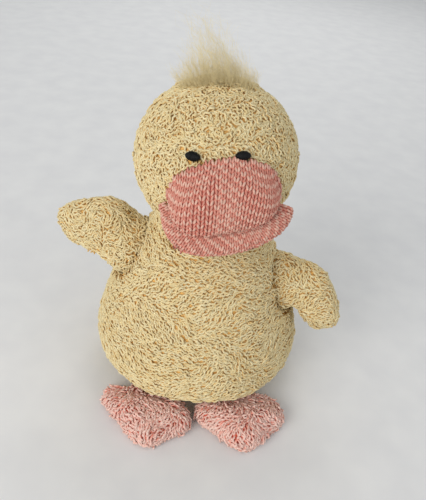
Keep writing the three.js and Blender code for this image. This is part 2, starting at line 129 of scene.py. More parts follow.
SKIN_INSET = 1.7 * MM  # from the pile's outside in to the cloth it grows on
PRESSES = (0.65, 0.3)  # shares of its height to which a loop is pressed under another piece
SHELTER = 10 * MM  # loops that meet a sewn-on piece within this on all sides don't show
CREASE_WIDTH = 3.5 * MM  # loops nearer than this to another piece stand taller and cover the seam
CREASE_RAISE = 2.0  # times the usual height
SEAM_HALF_WIDTH = 1.6 * MM
SEAM_PRESS = 0.45  # share of its height that a loop keeps beside a seam

# Knit
WALE = 2.7 * MM
COURSE = 2.25 * MM
STITCH_RINGS = 5
STITCH_SIDES = 5
STITCH_RADIUS = 0.66 * MM  # of a pale one
STITCH_RAISE = 0.12  # share by which pale stitches are thicker and higher than deep ones
STITCH_RELIEF = 0.5 * MM
STITCH_FOOT = 0.09  # share of a wale from a column's middle to the foot of a leg
STITCH_TOP = 0.4  # the same for its top
STITCH_OVERLAP = 1.45  # length of a leg in courses
STITCH_CORE = 0.5  # share of its radius that a leg has even at its ends
STITCH_END = 0.1  # share of a half wave of thickness that each end of a leg leaves out
STITCH_WIDTHS = (0.92, 1.08)  # least and most, times the usual radius
STITCH_TONES = 0.25  # spread of the tones round pale and deep
KNIT_INSET = 0.7 * MM
KNIT_REACH = 3 * MM  # how far from its ideal form the cloth under the knit is looked for
WALE_LEAN = math.radians(-8)
KNIT_CLEARANCE = 0.3 * MM  # from the head to the nearest stitch
KNIT_TURN_IN = 1.5 * MM  # from the head to where the knit starts to go in under the seam
DOME_ACROSS = (-1.45, 1.45)  # radians from one end of the dome to the other
DOME_OVER = (0.06, 2.8)  # radians from the mouth line over the dome to the head
LIP_ROUND = (-3.45, 0.31)  # radians along the lip's rim
LIP_OVER = (-1.35, 1.35)  # radians from its top over the rim to its underside
SWEEP_STEPS = 200  # along a column
RIM_STEPS = 400  # along the lip's rim

# Padding
PUFF_FRAMES = 20
PUFF_PRESSURE = 600
PUFF_MASS = 0.004  # kilograms at each point of a skin
PUFF_START = 0.3 * MM  # how much smaller a skin is before it is stuffed
PUFF_CAP = 1.0 * MM  # how far the filling can push a point
BODY_VOXEL = 3.0 * MM
NECK_VOXEL = 2.0 * MM
WING_VOXEL = 2.0 * MM
FOOT_VOXEL = 1.6 * MM
DOME_VOXEL = 1.6 * MM
LIP_VOXEL = 1.4 * MM
FORM_SMOOTHING = 2  # steps
HEAD_SEAM_REACH = 4 * MM  # from the head to where a skin that meets it is held
HEAD_HOLD = 0.8  # shares of its radius below its middle, from where down the head is held
BASE_HOLD = 8 * MM  # height up to which the body is held
WING_SEAM_REACH = 24 * MM  # from a wing's hinge to where the body is held
WING_HOLD = 20 * MM  # from there to where the wing itself is held
FOOT_HOLD = 6 * MM  # in front of its hinge
SOLE_HOLD = 3 * MM  # height up to which a foot is held

# Satin stitches
EYE_STITCHES = 22
EYE_RINGS = 9
EYE_SIDES = 5
EYE_THREAD = 0.34 * MM
EYE_BLUNTNESS = 1.1  # 1 where the ends of a stitch are sharp
EYE_RELIEF = 1.4 * MM  # above the head's outside
EYE_DEPTH = 1.2 * MM  # from there in to where the stitches end
EYE_VOXEL = 0.5 * MM
EYE_MARGIN = 0.1 * MM  # from an eye to the nearest root of a loop

# Thread that sews the head on
NECK_STITCHES = 64
NECK_STITCH_RINGS = 5
NECK_STITCH_SIDES = 5
NECK_STITCH_SLANT = 0.07  # radians round the neck
NECK_THREAD = 0.45 * MM
NECK_STITCH_BLUNTNESS = 1.2  # 1 where the ends of a stitch are sharp
NECK_STITCH_SINK = 0.8 * MM  # how deep the terry hides it
NECK_LOOPS = 130  # in each row of the terry that is bunched over the thread
NECK_LOOP_SINK = 1.3 * MM  # from the middle of the thread in to the foot of a loop
NECK_ROWS = np.linspace(-3.5, 1.5, 5) * MM  # heights above the thread
NECK_WIDENING = 0.55  # how fast the crease opens above and below the thread
NECK_LEAN = 0.2 / MM  # radians by which a loop leans in over the crease, by its height

# Hair
HAIR_COUNT = 1900
HAIR_RINGS = 8
HAIR_SIDES = 3
HAIR_HALF_WIDTH = 18 * MM
HAIR_HALF_DEPTH = 6.5 * MM
HAIR_SHORTEST = 7 * MM
HAIR_LONGEST = 34 * MM
HAIR_RADIUS = 0.045 * MM
HAIR_DRAW = 0.5  # how far the strands are drawn together at the top
HAIR_LEAN = 10 * MM  # sideways at the top
HAIR_CURL = 1.8 * MM
HAIR_CURL_LENGTH = 9 * MM
HAIR_STUBBLE = (0.6, 1.3)  # least and most, times the shortest
HAIR_PEAK = 1.5  # how sharply the long strands gather in the middle
HAIR_RARITY = 3  # the more, the fewer strands are long
HAIR_FLARE = 0.35  # how far short strands spread to the sides
HAIR_DEPTH_FLARE = 0.8  # and to the front and back
HAIR_STRAY = 0.16  # slope by which a strand leaves the others
HAIR_BEND = 1.5  # the more, the nearer to the top the lean is
HAIR_TAPER = 0.7  # share of its radius that a strand loses to its tip

# Fields and meshes
TINY = 1e-12  # least length that a direction is taken from
DRIFT_WAVES = 14
DRIFT_PACE = (0.6, 1.5)  # least and most waves in the length of a drift
SCATTER_TRIES = 4  # for each cell of the spacing
UV_MARGIN = 0.12  # share of its cell that a tube keeps clear on each side
CROWN_NUDGE = 0.1 * MM  # gives the pile a course at the crown, where its rings shrink to nothing

# Seeds of the random draws
EYE_SEED = 5
NECK_SEED = 6
NECK_TERRY_SEED = 7
DOME_SEED = 31
LIP_SEED = 32
HAIR_SEED = 77
BODY_SEED = 101
HEAD_SEED = 201
WING_SEEDS = {"left": 301, "right": 311}
FOOT_SEEDS = {"left": 401, "right": 411}

# Finishes
SPECULAR = 0.2
SHEEN_ROUGHNESS = 0.5
YARN_ROUGHNESS = 0.95
YARN_SHEEN = 0.25
TERRY_SHEEN = 0.4
KNIT_ROUGHNESS = 0.92
HAIR_ROUGHNESS = 0.85
SATIN_ROUGHNESS = 0.5
PAINTED_SHADE_STOP = 0.3  # share of painted light up to which a yarn has its painted shade colour, at its feet and flanks
PAINTED_LIGHT_STOP = 0.85  # share of painted light from which a yarn has its painted light colour, along its top
FIBRE_SCALE = 700
FIBRE_DETAIL = 2
FIBRE_SHADE = 0.82
FIBRE_STOPS = (0.35, 0.65)
FUZZ_SCALE = 2600
FUZZ_DETAIL = 3
FUZZ_STRENGTH = 0.5
FUZZ_DEPTH = 0.2 * MM
GROUND_ROUGHNESS = 0.98
GROUND_DETAIL = 3
GROUND_STOPS = (0.3, 0.7)
GROUND_STRENGTH = 0.6
GROUND_DEPTH = 0.6 * MM
FLOOR_SIZE = 8.0
FLOOR_ROUGHNESS = 0.9
FLOOR_GRAIN = 40
FLOOR_DETAIL = 2
WORLD_COLOUR = (0.86, 0.88, 0.9, 1)
WORLD_STRENGTH = 0.6


# Numbers
def unit(vectors):
    return vectors / np.maximum(np.linalg.norm(vectors, axis=-1, keepdims=True), TINY)


def dots(first, second):
    return np.sum(first * second, axis=-1, keepdims=True)


def drift(points, seed, length):
    """A smooth random vector at each point, changing over about that length."""
    rng = np.random.default_rng(seed)
    ways = unit(rng.normal(size=(DRIFT_WAVES, 3)))
    pushes = ways * rng.uniform(*DRIFT_PACE, (DRIFT_WAVES, 1)) * 2 * math.pi / length
    phases = rng.uniform(0, 2 * math.pi, DRIFT_WAVES)
    sizes = rng.normal(size=(DRIFT_WAVES, 3)) * math.sqrt(2 / DRIFT_WAVES)
    return np.sin(points @ pushes.T + phases) @ sizes


def wander(points, seed, length):
    """One smooth random number at each point, about -1 to 1."""
    return drift(points, seed, length)[:, 0]


def moved(matrix, points):
    return points @ np.array(matrix.to_3x3()).T + np.array(matrix.translation)


# Meshes
def add_object(name, mesh):
    obj = bpy.data.objects.new(name, mesh)
    scene.collection.objects.link(obj)
    return obj


def tube_mesh(name, paths, radii, hints, sides, tones, free=0.0):
    """Closed tubes along paths (tube, ring, xyz), with radii (tube, ring) and one tone for each tube.

    The painted light is brightest on a tube's side towards the cross product of its path and its hint;
    painted shade is deepest on the side away from it and at the tube's feet.
    """
    count, rings, _ = paths.shape
    along = unit(np.gradient(paths, axis=1))
    across = unit(hints - along * dots(along, hints))
    over = np.cross(along, across)
    turn = np.arange(sides) * 2 * math.pi / sides
    ring = np.cos(turn)[:, None] * across[:, :, None, :] + np.sin(turn)[:, None] * over[:, :, None, :]
    points = (paths[:, :, None, :] + ring * radii[:, :, None, None]).reshape(-1, 3)

    first = (np.arange(rings - 1)[:, None] * sides + np.arange(sides)).ravel()
    beside = (np.arange(rings - 1)[:, None] * sides + (np.arange(sides) + 1) % sides).ravel()
    quads = np.stack([first, beside, beside + sides, first + sides], axis=1)
    start = np.arange(sides)[::-1]
    end = (rings - 1) * sides + np.arange(sides)
    one = np.concatenate([quads.ravel(), start, end])
    corners = (np.arange(count)[:, None] * rings * sides + one).ravel()
    sizes = np.tile(np.concatenate([np.full(len(quads), 4), [sides, sides]]), count)

    mesh = bpy.data.meshes.new(name)
    mesh.vertices.add(len(points))
    mesh.vertices.foreach_set("co", points.ravel())
    mesh.loops.add(len(corners))
    mesh.loops.foreach_set("vertex_index", corners.astype(np.int32))
    mesh.polygons.add(len(sizes))
    mesh.polygons.foreach_set("loop_start", np.concatenate([[0], np.cumsum(sizes)[:-1]]).astype(np.int32))
    mesh.polygons.foreach_set("use_smooth", np.ones(len(sizes), bool))

    # painted light and shade: each tube is pale along its top and all round a free end, and deep on its
    # flanks, underside and feet where shade falls
    tip = free * np.linspace(0, 1, rings)[:, None] ** 2
    painted_light = (1 + np.sin(turn)) / 2
    painted_light = arch(rings, free)[:, None] * (painted_light + (1 - painted_light) * tip)
    add_number(mesh, "painted_light", np.tile(painted_light.ravel(), count))
    add_number(mesh, "tone", np.repeat(tones, rings * sides))
    lay_out(mesh, count, rings, sides)
    mesh.update(calc_edges=True)
    mesh.validate()
    return add_object(name, mesh)


def arch(rings, free):
    """Height along a loop from 0 to 1, back to 0 at its far end or, the freer it is, still up there."""
    return np.sqrt(np.abs(np.sin(math.pi * np.linspace(0, 1, rings) * (1 - free / 2))))


def add_number(mesh, name, values):
    attribute = mesh.attributes.new(name, "FLOAT", "POINT")
    attribute.data.foreach_set("value", values.astype(np.float32))


def lay_out(mesh, count, rings, sides):
    """A cell of the UV square for each tube."""
    step = np.array(((0, 0), (1, 0), (1, 1), (0, 1)))
    place = np.stack([np.tile(np.arange(sides), rings - 1), np.repeat(np.arange(rings - 1), sides)], axis=1)
    wall = (place[:, None, :] + step) / (sides, rings - 1)
    around = np.arange(sides) / sides
    start = np.stack([around[::-1], np.zeros(sides)], axis=1)
    end = np.stack([around, np.ones(sides)], axis=1)
    one = np.concatenate([wall.reshape(-1, 2), start, end])
    grid = math.ceil(math.sqrt(count))
    cell = np.stack([np.arange(count) % grid, np.arange(count) // grid], axis=1)
    spread = (cell[:, None, :] + UV_MARGIN + one * (1 - 2 * UV_MARGIN)) / grid
    layer = mesh.uv_layers.new(name="OFBake")
    layer.data.foreach_set("uv", spread.astype(np.float32).ravel())


def vectors_of(items, name):
    values = np.empty(len(items) * 3)
    items.foreach_get(name, values)
    return values.reshape(-1, 3)


def corner_arrays(mesh):
    """Corner points, corner normals and areas of a mesh's triangles."""
    mesh.calc_loop_triangles()
    index = np.empty(len(mesh.loop_triangles) * 3, np.int32)
    mesh.loop_triangles.foreach_get("vertices", index)
    index = index.reshape(-1, 3)
    points = vectors_of(mesh.vertices, "co")[index]
    normals = vectors_of(mesh.vertices, "normal")[index]
    area = np.linalg.norm(np.cross(points[:, 1] - points[:, 0], points[:, 2] - points[:, 0]), axis=1) / 2
    return points, normals, area


def dress(obj, material, body):
    """Gives a piece its finish and the body that it moves with."""
    obj.data.materials.append(material)
    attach(obj, body)


# Skins: the outside of some solids as one soft closed form
outsides = {}  # by skin, the form that its pieces have with their pile, knit or stitches on


def form(name, nodes, voxel):
    mesh = bpy.data.meshes.new(name)
    points, faces = [], []
    for node in nodes:
        part = frame["nodes"][node].data
        base = len(points)
        points += [vertex.co[:] for vertex in part.vertices]
        faces += [[base + i for i in polygon.vertices] for polygon in part.polygons]
    mesh.from_pydata(points, [], faces)
    obj = add_object(name, mesh)
    remesh = obj.modifiers.new("remesh", "REMESH")
    remesh.mode = "VOXEL"
    remesh.voxel_size = voxel
    smooth = obj.modifiers.new("smooth", "SMOOTH")
    smooth.iterations = FORM_SMOOTHING
    settle(obj)
    outsides[name] = surface(obj)
    return obj


def settle(obj):
    """Applies an object's modifiers."""
    graph = bpy.context.evaluated_depsgraph_get()
    made = bpy.data.meshes.new_from_object(obj.evaluated_get(graph))
    old = obj.data
    obj.modifiers.clear()
    obj.data = made
    bpy.data.meshes.remove(old)
    return obj


def move_points(obj, points):
    obj.data.vertices.foreach_set("co", points.ravel())
    obj.data.update()


def shrink(obj, depth):
    vertices = obj.data.vertices
    move_points(obj, vectors_of(vertices, "co") - vectors_of(vertices, "normal") * depth)


def stuff(obj, pinned):
    """Blows a skin up as its filling does, except where it is sewn on."""
    start = vectors_of(obj.data.vertices, "co")
    pins = obj.vertex_groups.new(name="pins")
    pins.add(np.nonzero(pinned(start))[0].tolist(), 1.0, "REPLACE")
    cloth_modifier = obj.modifiers.new("puff", "CLOTH")
    settings = cloth_modifier.settings
    settings.use_pressure = True
    settings.uniform_pressure_force = PUFF_PRESSURE
    settings.mass = PUFF_MASS
    settings.effector_weights.gravity = 0
    settings.vertex_group_mass = pins.name
    cloth_modifier.point_cache.frame_start = 1
    cloth_modifier.point_cache.frame_end = PUFF_FRAMES
    for moment in range(1, PUFF_FRAMES + 1):
        scene.frame_set(moment)
    settle(obj)
    scene.frame_set(1)
    move = vectors_of(obj.data.vertices, "co") - start
    size = np.linalg.norm(move, axis=1, keepdims=True)
    move_points(obj, start + move * np.minimum(1, PUFF_CAP / np.maximum(size, TINY)))
    obj.vertex_groups.clear()


def skin(name, nodes, voxel, inset, pinned, body, material, behind=()):
    """A stuffed skin that stands for its nodes and also covers the ones behind it."""
    obj = form(name, [*nodes, *behind], voxel)
    shrink(obj, inset + PUFF_START)
    stuff(obj, pinned)
    rounded = obj.modifiers.new("round", "SUBSURF")
    rounded.levels = 1
    rounded.render_levels = 1
    settle(obj)
    obj.data.polygons.foreach_set("use_smooth", np.ones(len(obj.data.polygons), bool))
    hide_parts(*nodes)
    dress(obj, material, body)
    return obj


def surface(obj):
    return BVHTree.FromObject(obj, bpy.context.evaluated_depsgraph_get())


# Pile
def scatter(obj, spacing, seed):
    """Points and normals spread evenly over a skin, none nearer to another than the spacing."""
    points, normals, area = corner_arrays(obj.data)
    rng = np.random.default_rng(seed)
    tries = int(area.sum() / spacing ** 2 * SCATTER_TRIES)
    chosen = rng.choice(len(area), tries, p=area / area.sum())
    a, b = rng.random(tries), rng.random(tries)
    flip = a + b > 1
    a[flip], b[flip] = 1 - a[flip], 1 - b[flip]
    weight = np.stack([1 - a - b, a, b], axis=1)[:, :, None]
    spots = (points[chosen] * weight).sum(axis=1)
    lift = unit((normals[chosen] * weight).sum(axis=1))
    kept = thin_out(spots, spacing)
    return spots[kept], lift[kept]


def thin_out(spots, spacing):
    """Numbers of the spots that are left when each one too near to an earlier one goes."""
    cells = map(tuple, np.floor(spots / spacing).astype(int).tolist())
    near = [(i, j, k) for i in (-1, 0, 1) for j in (-1, 0, 1) for k in (-1, 0, 1)]
    taken, kept = {}, []
    for number, (cell, spot) in enumerate(zip(cells, spots.tolist())):
        beside = (taken.get((cell[0] + i, cell[1] + j, cell[2] + k), ()) for i, j, k in near)
        if all(math.dist(other, spot) >= spacing for others in beside for other in others):
            taken.setdefault(cell, []).append(spot)
            kept.append(number)
    return np.array(kept)


def inside(tree, spot, way):
    """Whether a spot lies within a closed form, so that the first face met from there faces away."""
    _, normal, _, _ = tree.ray_cast(spot, way)
    return normal is not None and normal.dot(way) > 0


def sheltered(tree, spot, up):
    """Whether a loop is so far in under another piece that it doesn't show."""
    side = up.orthogonal().normalized()
    over = up.cross(side)
    ways = (up, up + side, up - side, up + over, up - over)
    return all(tree.ray_cast(spot, way, SHELTER)[0] is not None for way in ways)


def room(trees, spot, up, height):
    """Share of its height that a loop has room for between other pieces, 0 where it has none."""
    in_crease = any(tree.find_nearest(spot, CREASE_WIDTH)[0] is not None for tree in trees)
    shares = (CREASE_RAISE, 1, *PRESSES) if in_crease else (1, *PRESSES)
    for share in shares:
        if not any(inside(tree, spot + up * height * share, up) for tree in trees):
            return share
    return 0


def rooms(spots, lift, kind, sewn, loose):
    """Room for each loop between the pieces that are sewn on round it and those that move."""
    sewn_trees = [outsides[other.name] for other in sewn]
    trees = sewn_trees + [outsides[other.name] for other in loose]
    share = np.zeros(len(spots))
    for number, (spot, up) in enumerate(zip(map(Vector, spots), map(Vector, lift))):
        if not any(sheltered(tree, spot, up) for tree in sewn_trees):
            share[number] = room(trees, spot, up, kind.height)
    return share


def lie(spots, lift, course, kind, seed):
    """Direction in which each loop lies: the course of the rows, swirled and jittered."""
    rng = np.random.default_rng(seed)
    base = unit(course - lift * dots(course, lift))
    side = np.cross(lift, base)
    angle = kind.swirl * wander(spots, seed, kind.swirl_length) + kind.jitter * rng.normal(size=len(spots))
    return base * np.cos(angle)[:, None] + side * np.sin(angle)[:, None]


def loops(name, spots, lift, heading, press, kind, seed):
    """Wavy loops that lie along their headings, flattened on the floor where they reach it."""
    rng = np.random.default_rng(seed)
    count = len(spots)
    t = np.linspace(0, 1, LOOP_RINGS)
    bow = arch(LOOP_RINGS, kind.free)
    spread = rng.gamma(LOOP_SPREAD_SHAPE, 1 / LOOP_SPREAD_SHAPE, count)
    share = (LOOP_LOWEST + LOOP_SPREAD * spread) * press
    height = kind.height * np.minimum(share, LOOP_TALLEST)
    length = kind.length * rng.uniform(*LOOP_LENGTHS, count)
    phase = rng.uniform(0, 2 * math.pi, (count, 1))
    side = np.cross(lift, heading)
    fall = np.array((0, 0, -1)) + lift * lift[:, 2:]
    rise = height[:, None] * bow - LOOP_SINK
    along = length[:, None] * (t - 0.5)
    sway = kind.wave * np.sin(2 * math.pi * LOOP_WAVES * t + phase)
    paths = spots[:, None, :] + lift[:, None, :] * rise[:, :, None]
    paths = paths + fall[:, None, :] * kind.droop * bow[:, None]
    paths = paths + heading[:, None, :] * along[:, :, None] + side[:, None, :] * sway[:, :, None]
    thick = kind.radius * rng.uniform(*LOOP_WIDTHS, count)[:, None] * (1 - LOOP_TAPER + LOOP_TAPER * bow)
    paths[:, :, 2] = np.maximum(paths[:, :, 2], thick)
    return tube_mesh(name, paths, thick, side[:, None, :], LOOP_SIDES, rng.random(count), kind.free)


def whole(points):
    return {"": np.ones(len(points), bool)}


def quarters(points):
    """Which points are in each quarter of the toy, by the end of its piece's name."""
    front, left = points[:, 1] < 0, points[:, 0] > 0
    return {"_front_left": front & left, "_front_right": front & ~left,
            "_back_left": ~front & left, "_back_right": ~front & ~left}


def pile(name, base, course, kind, seed, material, body,
         sewn=(), loose=(), split=whole, seams=None, bare=None):
    """Loops over a skin, pressed under the pieces that are sewn on round it or lie loose on it.

    They are low beside its seams, none grows where it is bare, and the split makes them several pieces.
    """
    spots, lift = scatter(base, kind.spacing, seed)
    if bare is not None:
        kept = ~bare(spots)
        spots, lift = spots[kept], lift[kept]
    press = rooms(spots, lift, kind, sewn, loose)
    kept = press > 0
    spots, lift, press = spots[kept], lift[kept], press[kept]
    if seams is not None:
        press = np.where(seams(spots), np.minimum(press, SEAM_PRESS), press)
    heading = lie(spots, lift, course(spots), kind, seed + 1)
    for turn, (end, part) in enumerate(split(spots).items()):
        obj = loops(name + end, spots[part], lift[part], heading[part], press[part], kind, seed + 2 + turn)
        dress(obj, material, body)


# Materials
def linear(red, green, blue):
    """A colour written as it looks, 0 to 255, by the sRGB curve."""
    values = [value / 255 for value in (red, green, blue)]
    return tuple(v / 12.92 if v <= 0.04045 else ((v + 0.055) / 1.055) ** 2.4 for v in values) + (1.0,)


def new_material(name, roughness, sheen=0.0, tint=(1, 1, 1, 1)):
    material = bpy.data.materials.new(name)
    material.use_nodes = True
    shader = material.node_tree.nodes["Principled BSDF"]
    shader.inputs["Roughness"].default_value = roughness
    shader.inputs["Specular IOR Level"].default_value = SPECULAR
    shader.inputs["Sheen Weight"].default_value = sheen
    shader.inputs["Sheen Roughness"].default_value = SHEEN_ROUGHNESS
    shader.inputs["Sheen Tint"].default_value = tint
    return material, material.node_tree.nodes, material.node_tree.links, shader


def noise(nodes, links, scale, detail):
    place = nodes.new("ShaderNodeTexCoord")
    texture = nodes.new("ShaderNodeTexNoise")
    texture.inputs["Scale"].default_value = scale
    texture.inputs["Detail"].default_value = detail
    links.new(place.outputs["Object"], texture.inputs["Vector"])
    return texture.outputs["Fac"]


def ramp(nodes, links, source, stops):
    node = nodes.new("ShaderNodeValToRGB")
    while len(node.color_ramp.elements) < len(stops):
        node.color_ramp.elements.new(1.0)
    for element, (position, colour) in zip(node.color_ramp.elements, stops):
        element.position = position
        element.color = colour
    links.new(source, node.inputs["Fac"])
    return node.outputs["Color"]


def mix(nodes, links, factor, first, second):
    node = nodes.new("ShaderNodeMix")
    node.data_type = "RGBA"
    links.new(factor, node.inputs["Factor"])
    links.new(first, node.inputs["A"])
    links.new(second, node.inputs["B"])
    return node.outputs["Result"]


def bump(nodes, links, shader, height, strength, distance):
    node = nodes.new("ShaderNodeBump")
    node.inputs["Strength"].default_value = strength
    node.inputs["Distance"].default_value = distance
    links.new(height, node.inputs["Height"])
    links.new(node.outputs["Normal"], shader.inputs["Normal"])


def number(nodes, name):
    node = nodes.new("ShaderNodeAttribute")
    node.attribute_name = name
    return node.outputs["Fac"]


def yarn(name, painted_shade, tip, dull, roughness=YARN_ROUGHNESS, sheen=YARN_SHEEN):
    """Yarn with painted light and shade: deep in colour at its feet and flanks where shade falls, pale along
    its top where light falls, each piece a little different.
    """
    material, nodes, links, shader = new_material(name, roughness, sheen, tip)
    # painted shade colour up to the first stop of the painted light share, painted light colour from the
    # second
    pale = ramp(nodes, links, number(nodes, "painted_light"), [(PAINTED_SHADE_STOP, painted_shade), (PAINTED_LIGHT_STOP, tip)])
    deep = ramp(nodes, links, number(nodes, "painted_light"), [(PAINTED_SHADE_STOP, painted_shade), (PAINTED_LIGHT_STOP, dull)])
    each = mix(nodes, links, number(nodes, "tone"), pale, deep)
    shades = ((FIBRE_SHADE, FIBRE_SHADE, FIBRE_SHADE, 1), (1, 1, 1, 1))
    fibre = noise(nodes, links, FIBRE_SCALE, FIBRE_DETAIL)
    fibre = ramp(nodes, links, fibre, list(zip(FIBRE_STOPS, shades)))
    shade = nodes.new("ShaderNodeMix")
    shade.data_type = "RGBA"
    shade.blend_type = "MULTIPLY"
    shade.inputs["Factor"].default_value = 1.0
    links.new(each, shade.inputs["A"])
    links.new(fibre, shade.inputs["B"])
    links.new(shade.outputs["Result"], shader.inputs["Base Color"])
    bump(nodes, links, shader, noise(nodes, links, FUZZ_SCALE, FUZZ_DETAIL), FUZZ_STRENGTH, FUZZ_DEPTH)
    return material


def cloth(name, colour, shade, scale):
    """Ground fabric under a pile or a knit."""
    material, nodes, links, shader = new_material(name, GROUND_ROUGHNESS)
    weave = noise(nodes, links, scale, GROUND_DETAIL)
    tones = ramp(nodes, links, weave, list(zip(GROUND_STOPS, (shade, colour))))
    links.new(tones, shader.inputs["Base Color"])
    bump(nodes, links, shader, weave, GROUND_STRENGTH, GROUND_DEPTH)
    return material


# Each yarn's first colour is painted shade on the feet and flanks of its loops and stitches; its tip colour
# is painted light along their tops
terry = yarn("terry_loops", painted_shade=linear(222, 174, 98), tip=linear(241, 228, 186),
             dull=linear(234, 214, 162), sheen=TERRY_SHEEN)
terry_ground = cloth("terry_ground", colour=linear(236, 192, 116), shade=linear(226, 174, 96), scale=900)
pink = yarn("pink_terry_loops", painted_shade=linear(246, 134, 108), tip=linear(250, 218, 205),
            dull=linear(247, 203, 189), sheen=TERRY_SHEEN)
pink_ground = cloth("pink_terry_ground", colour=linear(248, 136, 108), shade=linear(240, 116, 92), scale=900)
knit = yarn("pink_knit_stitches", painted_shade=linear(216, 126, 109), tip=linear(230, 187, 168),
            dull=linear(214, 147, 130), roughness=KNIT_ROUGHNESS)
knit_ground = cloth("pink_knit_ground", colour=linear(210, 118, 103), shade=linear(194, 98, 87), scale=1400)
black = yarn("black_satin_stitches", painted_shade=linear(6, 6, 7), tip=linear(21, 21, 22),
             dull=linear(13, 13, 14), roughness=SATIN_ROUGHNESS, sheen=0.0)
black_ground = cloth("black_embroidery_pad", colour=linear(18, 18, 19), shade=linear(8, 8, 9), scale=1400)
hair = yarn("hair_strands", painted_shade=linear(246, 230, 182), tip=linear(250, 240, 206),
            dull=linear(246, 232, 190), roughness=HAIR_ROUGHNESS)
stuffing = cloth("polyester_filling", colour=linear(244, 242, 236), shade=linear(226, 224, 216), scale=300)

for node in frame["nodes"].values():
    node.data.materials.clear()
    node.data.materials.append(stuffing)


# Where the skins are sewn on, and so keep still when they are stuffed
def from_head(points):
    """Distance outside the ball of the head."""
    return np.linalg.norm(points - np.array(HEAD_CENTRE), axis=-1) - HEAD_RADIUS


def near(joint, radius):
    centre = np.array(JOINTS[joint])
    return lambda points: np.linalg.norm(points - centre, axis=1) < radius


def body_pins(points):
    wings = [near(f"wing_{hand}_lift", WING_SEAM_REACH)(points) for hand in HANDS]
    return (from_head(points) < HEAD_SEAM_REACH) | (points[:, 2] < BASE_HOLD) | np.any(wings, axis=0)


def head_pins(points):
    return points[:, 2] < HEAD_CENTRE.z - HEAD_HOLD * HEAD_RADIUS


def bill_pins(points):
    return from_head(points) < HEAD_SEAM_REACH


def foot_pins(points):
    at_hinge = points[:, 1] > JOINTS["foot_left_lift"].y - FOOT_HOLD
    return at_hinge | (points[:, 2] < SOLE_HOLD)


def all_pins(points):
    return np.ones(len(points), bool)


body_skin = skin("body_cloth", ["body_cover", "body_filling", "base_panel", "pellet_bag"], BODY_VOXEL,
                 SKIN_INSET, body_pins, "torso", terry_ground, behind=["neck_filling"])
skin("neck_stuffing", ["neck_filling"], NECK_VOXEL,
     SKIN_INSET, all_pins, "neck", stuffing)
head_skin = skin("head_cloth", ["head_cover", "head_filling"], BODY_VOXEL,
                 SKIN_INSET, head_pins, "head", terry_ground)
wing_skins = {}
foot_skins = {}
for hand in HANDS:
    wing_skins[hand] = skin(
        f"wing_{hand}_cloth", [f"wing_{hand}_{layer}" for layer in ("cover", "filling")], WING_VOXEL,
        SKIN_INSET, near(f"wing_{hand}_lift", WING_HOLD), f"wing_{hand}", terry_ground)
    foot_skins[hand] = skin(
        f"foot_{hand}_cloth", [f"foot_{hand}_{layer}" for layer in ("upper", "sole", "filling")], FOOT_VOXEL,
        SKIN_INSET, foot_pins, f"foot_{hand}", pink_ground)
dome_skin = skin("upper_bill_cloth", ["upper_bill_cover", "upper_bill_filling"], DOME_VOXEL,
                 KNIT_INSET, bill_pins, "head", knit_ground)
lip_skin = skin("lower_bill_cloth", ["lower_bill_cover", "lower_bill_filling"], LIP_VOXEL,
                KNIT_INSET, bill_pins, "jaw", knit_ground)


# Eyes: satin stitches over an oval pad
def eye_pad(hand):
    obj = form(f"eye_{hand}_pad", [f"eye_{hand}"], EYE_VOXEL)
    shrink(obj, EYE_THREAD)
    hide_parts(f"eye_{hand}")
    dress(obj, black_ground, "head")


def eye_axes(hand):
    """Directions out from the middle of the head through an eye, across the eye and up it."""
    low_corner, high_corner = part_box(f"eye_{hand}")
    out = ((low_corner + high_corner) / 2 - HEAD_CENTRE).normalized()
    across = Vector((0, 0, 1)).cross(out).normalized()
    return out, across, out.cross(across)


def on_eyes(points):
    """Which points of the head an eye covers."""
    covered = np.zeros(len(points), bool)
    for hand in HANDS:
        forward, x, y = np.array(eye_axes(hand)) @ (points - np.array(HEAD_CENTRE)).T
        across, up = x / (EYE_HALF_WIDTH + EYE_MARGIN), y / (EYE_HALF_HEIGHT + EYE_MARGIN)
        covered |= (forward > 0) & (np.hypot(across, up) < 1)
    return covered


def satin_eye(hand):
    out, across, up = eye_axes(hand)
    centre = np.array(HEAD_CENTRE + out * HEAD_RADIUS)
    place = np.sin(np.linspace(-1, 1, EYE_STITCHES) * math.pi / 2)
    reach = np.sqrt(1 - place ** 2)[:, None]
    t = np.linspace(-1, 1, EYE_RINGS)
    x = np.repeat(place[:, None] * (EYE_HALF_WIDTH - EYE_THREAD), EYE_RINGS, axis=1)
    y = reach * (EYE_HALF_HEIGHT - EYE_THREAD) * t
    z = (EYE_RELIEF + EYE_DEPTH) * np.sqrt(reach * np.sqrt(1 - t ** 2)) - EYE_DEPTH
    paths = centre + x[:, :, None] * np.array(across) + y[:, :, None] * np.array(up)
    paths = paths + z[:, :, None] * np.array(out)
    thick = EYE_THREAD * np.sqrt(EYE_BLUNTNESS - t ** 2) * np.ones((EYE_STITCHES, 1))
    tones = np.random.default_rng(EYE_SEED).random(EYE_STITCHES)
    obj = tube_mesh(f"eye_{hand}_stitches", paths, thick, -np.array(across), EYE_SIDES, tones)
    dress(obj, black, "head")


for hand in HANDS:
    eye_pad(hand)
    satin_eye(hand)


